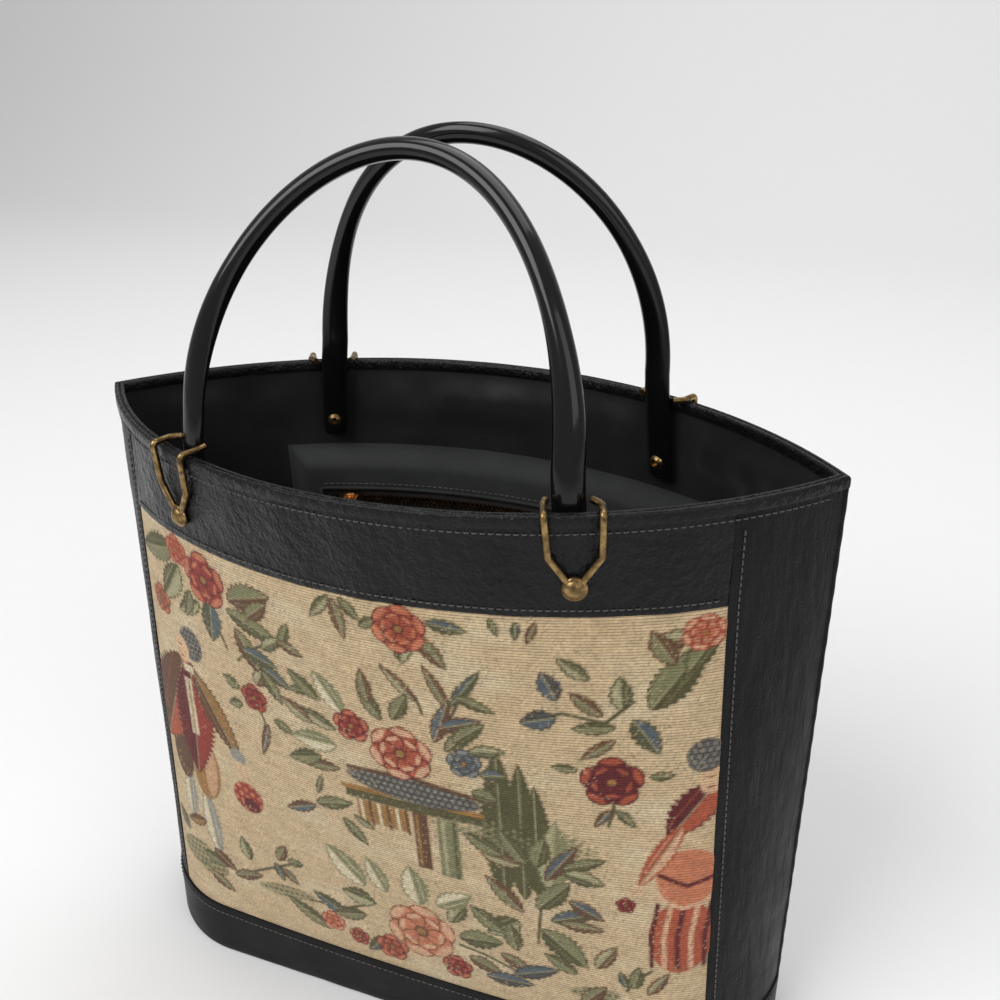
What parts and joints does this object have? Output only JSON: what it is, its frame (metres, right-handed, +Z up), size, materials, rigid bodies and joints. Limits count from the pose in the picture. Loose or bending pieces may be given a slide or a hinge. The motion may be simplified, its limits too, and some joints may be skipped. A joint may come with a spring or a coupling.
{
  "type": "tapestry handbag",
  "caption": "Upright handbag with a woven tapestry front panel, black leather walls and base, two arched rigid handles with brass wire keepers and a zipped inner pocket.",
  "frame": {"origin": "centre of the base on the surface that the bag stands on", "axes": "+Z up, -Y towards the tapestry front, +X to the right seen from the front"},
  "size_m": [0.3396, 0.1652, 0.4084],
  "materials": {
    "antique_brass": "dulled antique brass",
    "band_leather": "glossy creased black",
    "base_leather": "smooth matte black",
    "fibre_board": "pressed fibre board",
    "handle_plastic": "glossy black",
    "lining": "smooth black lining",
    "pocket_cloth": "finely grained dark cloth",
    "side_leather": "dull finely grained black",
    "tapestry_blue": "woven slate blue",
    "tapestry_brown": "woven brown",
    "tapestry_green": "woven olive green",
    "tapestry_grey": "woven grey",
    "tapestry_ground": "ribbed cream woven ground",
    "tapestry_pale_pink": "woven pale pink",
    "tapestry_pink": "woven rose",
    "tapestry_red": "woven red",
    "tapestry_russet": "woven russet",
    "tapestry_sage": "woven sage green",
    "zip_bronze": "bronze",
    "zip_tape": "black woven tape"
  },
  "bodies": {
    "bag": {"base_band": "base_leather", "base_board": "fibre_board", "base_leather": "base_leather", "base_lining": "lining", "front_board": "fibre_board", "front_cap_left": "antique_brass", "front_cap_right": "antique_brass", "front_handle": "handle_plastic", "front_keeper_left": "antique_brass", "front_keeper_right": "antique_brass", "front_lining": "lining", "front_rivet_left": "antique_brass", "front_rivet_right": "antique_brass", "front_side_left": "side_leather", "front_side_right": "side_leather", "front_top_band": "band_leather", "pocket_lower": "pocket_cloth", "pocket_upper": "pocket_cloth", "rear_board": "fibre_board", "rear_cap_left": "antique_brass", "rear_cap_right": "antique_brass", "rear_handle": "handle_plastic", "rear_keeper_left": "antique_brass", "rear_keeper_right": "antique_brass", "rear_leather": "side_leather", "rear_lining": "lining", "rear_rivet_left": "antique_brass", "rear_rivet_right": "antique_brass", "rim_binding": "side_leather", "side_welt_left": "side_leather", "side_welt_right": "side_leather", "tapestry_basket": "tapestry_brown", "tapestry_blue_flowers": "tapestry_blue", "tapestry_dress": "tapestry_russet", "tapestry_hair": "tapestry_grey", "tapestry_leaves": "tapestry_green", "tapestry_pale_leaves": "tapestry_sage", "tapestry_panel": "tapestry_ground", "tapestry_pink_flowers": "tapestry_pink", "tapestry_red_flowers": "tapestry_red", "tapestry_skin": "tapestry_pale_pink", "zip_stops": "zip_bronze", "zip_tape_lower": "zip_tape", "zip_tape_upper": "zip_tape", "zip_teeth_lower": "zip_bronze", "zip_teeth_upper": "zip_bronze"},
    "zip_slider": {"zip_slider_back": "zip_bronze", "zip_slider_front": "zip_bronze"},
    "zip_pull": {"zip_pull": "zip_bronze"}
  },
  "joints": [
    {"name": "zip_travel", "type": "hinge", "parent": "bag", "child": "zip_slider", "pos_m": [0, -0.206, 0.218], "axis": [0, 0, -1], "range_deg": [0, 33]},
    {"name": "pull_swing", "type": "hinge", "parent": "zip_slider", "child": "zip_pull", "pos_m": [-0.07743, 0.05151, 0.218], "axis": [-0.9576, -0.2879, 0], "range_deg": [0, 165]}
  ]
}
